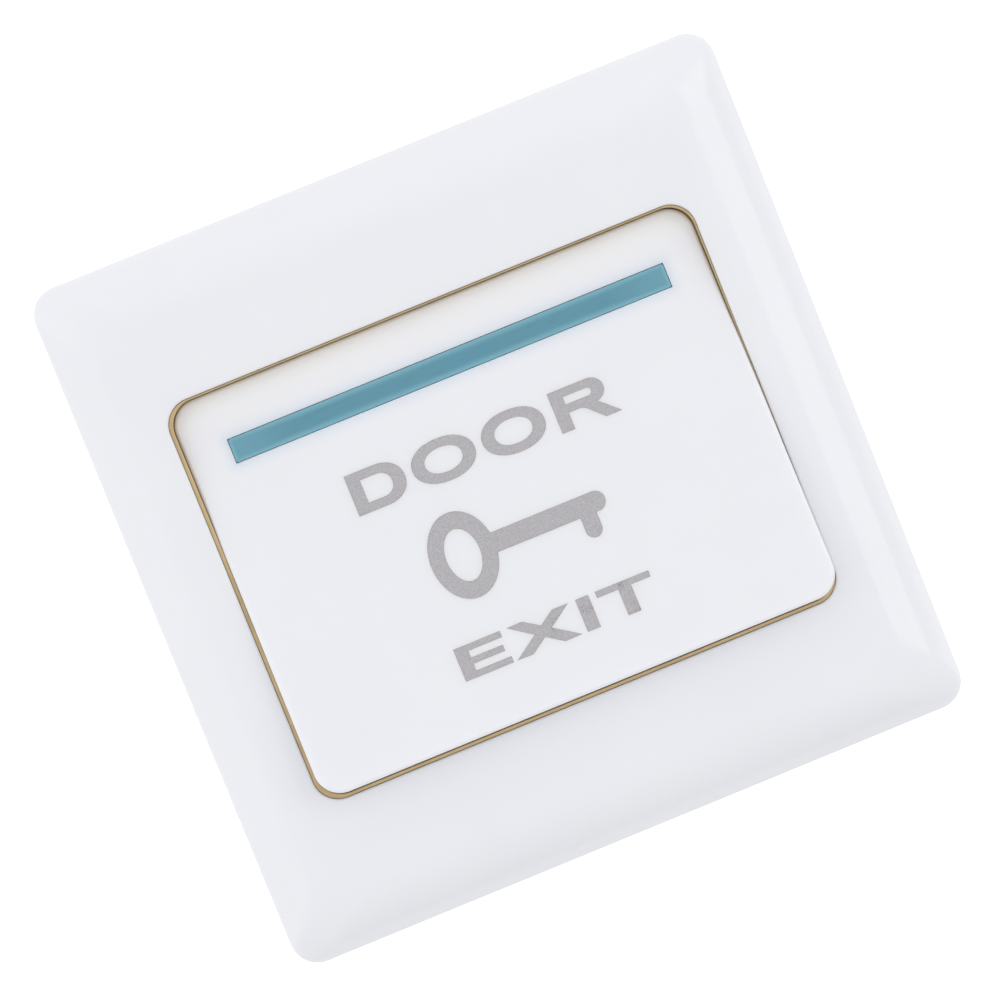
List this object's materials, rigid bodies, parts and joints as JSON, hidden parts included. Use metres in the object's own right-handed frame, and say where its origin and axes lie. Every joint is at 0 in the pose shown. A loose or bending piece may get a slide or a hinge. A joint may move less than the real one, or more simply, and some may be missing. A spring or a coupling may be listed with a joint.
{
  "type": "door exit button",
  "caption": "Square flush wall button for opening a door from inside: face plate with a wide tilting push panel and a momentary switch behind it.",
  "frame": {"origin": "centre of the fixing slots, on the wall plane", "axes": "+Z out of the wall towards the user, +Y up the wall, +X to the user's right"},
  "size_m": [0.086, 0.086, 0.0352],
  "materials": {
    "plate": "smooth gloss white",
    "panel": "smooth gloss white",
    "gilt": "gilt sheet",
    "strip": "teal translucent plastic",
    "frame": "plain moulded",
    "carrier": "plain moulded",
    "case": "plain moulded",
    "lid": "plain moulded",
    "plunger": "plain moulded",
    "steel": "zinc plated",
    "spring": "spring wire",
    "copper": "copper alloy strip",
    "silver": "silver contact",
    "brass": "bare brass"
  },
  "bodies": {
    "base": {"face_plate": "plate", "trim_ring": "gilt", "mounting_frame": "frame", "switch_case": "case", "case_lid": "lid", "case_screws": "steel", "return_spring": "spring", "fixed_contacts": "silver", "terminal_com": "brass", "terminal_no": "brass", "wire_cages": "steel", "clamp_screws": "steel"},
    "rocker": {"rocker_panel": "panel", "indicator_strip": "strip", "rocker_carrier": "carrier"},
    "plunger": {"plunger": "plunger", "retaining_clip": "steel", "contact_spring": "spring"},
    "bridge": {"contact_bridge": "copper", "moving_contacts": "silver"}
  },
  "joints": [
    {"name": "panel_press", "type": "hinge", "parent": "base", "child": "rocker", "pos_m": [0, -0.00022, 0.00583], "axis": [1, 0, 0], "range_deg": [0, 5], "stiffness_Nm_per_rad": 0.5, "springref_deg": -4.58},
    {"name": "plunger_slide", "type": "slide", "parent": "base", "child": "plunger", "axis": [0, 0, -1], "range_m": [0, 0.0011], "deforming": ["return_spring", "contact_spring"]},
    {"name": "bridge_slide", "type": "slide", "parent": "base", "child": "bridge", "axis": [0, 0, -1], "range_m": [0, 0.000805]}
  ],
  "couplings": [
    {"joint": "plunger_slide", "follows": "panel_press", "m_per_rad": 0.0125},
    {"joint": "bridge_slide", "follows": "panel_press", "m_per_rad": 0.009167}
  ]
}
